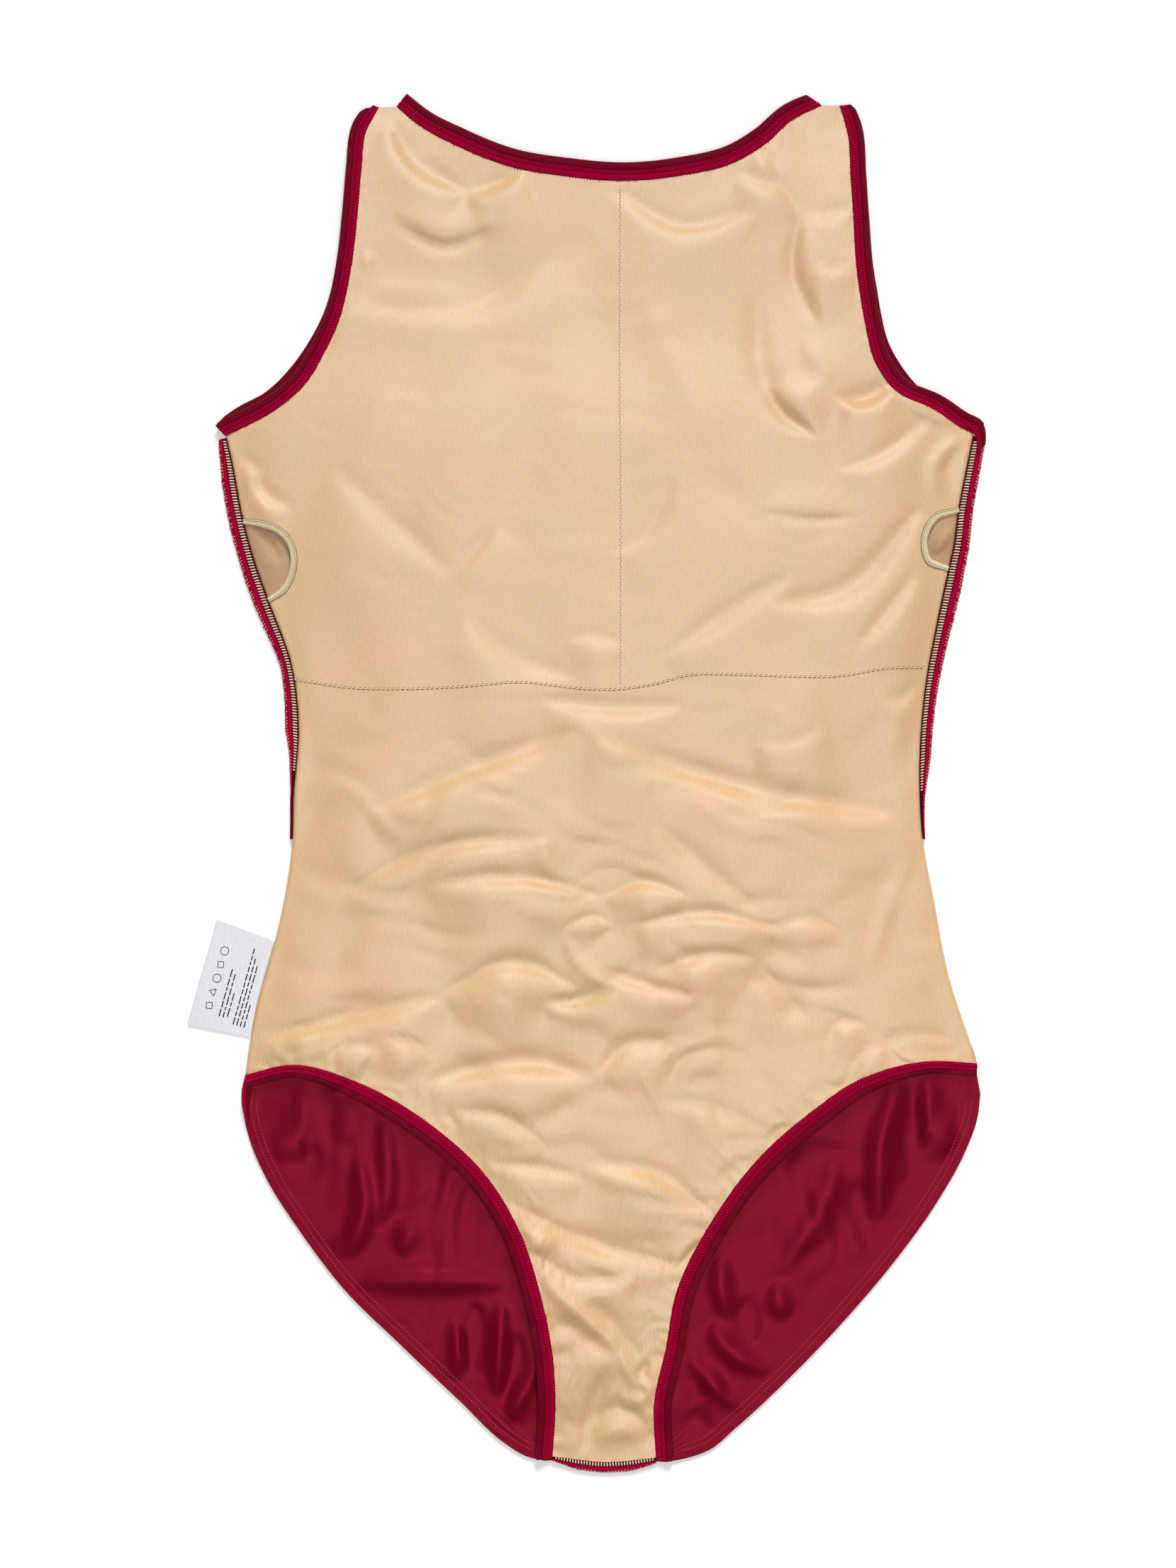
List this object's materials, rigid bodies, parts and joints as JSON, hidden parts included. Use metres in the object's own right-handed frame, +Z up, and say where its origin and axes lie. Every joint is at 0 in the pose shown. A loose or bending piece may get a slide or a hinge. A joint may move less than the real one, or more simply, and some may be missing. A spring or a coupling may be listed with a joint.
{
  "type": "leotard",
  "caption": "Sleeveless high-neck leotard turned inside out and laid flat, lining up, with bound edges, overlocked side seams, pad pockets and a blank care label.",
  "frame": {"origin": "centre of the bounding box's bottom face, on the surface the leotard lies on", "axes": "+Y runs along the leotard from the crotch to the neck, +X to the right of someone who looks down at its front, and +Z up from the surface"},
  "size_m": [0.4065, 0.7015, 0.0123],
  "materials": {
    "lining": "finely ribbed tricot with a satin sheen",
    "shell": "smooth stretch knit with a soft sheen",
    "thread": "matt overlock thread",
    "pocket_thread": "matt zigzag thread",
    "pocket_cloth": "matt tricot",
    "label": "satin tape"
  },
  "bodies": {
    "root": {"front_panel": "lining", "back_panel": "shell", "neck_hem": "shell", "armhole_hem_left": "shell", "armhole_hem_right": "shell", "leg_hem_left": "shell", "leg_hem_right": "shell", "back_leg_hem_left": "shell", "back_leg_hem_right": "shell", "back_armhole_hem_left": "shell", "back_armhole_hem_right": "shell", "back_neck_hem": "shell", "side_overlock_left": "thread", "side_overlock_right": "thread", "crotch_overlock": "thread", "pocket_hem_left": "pocket_thread", "pocket_hem_right": "pocket_thread", "pocket_layer_left": "pocket_cloth", "pocket_layer_right": "pocket_cloth", "care_label": "label"}
  },
  "joints": []
}
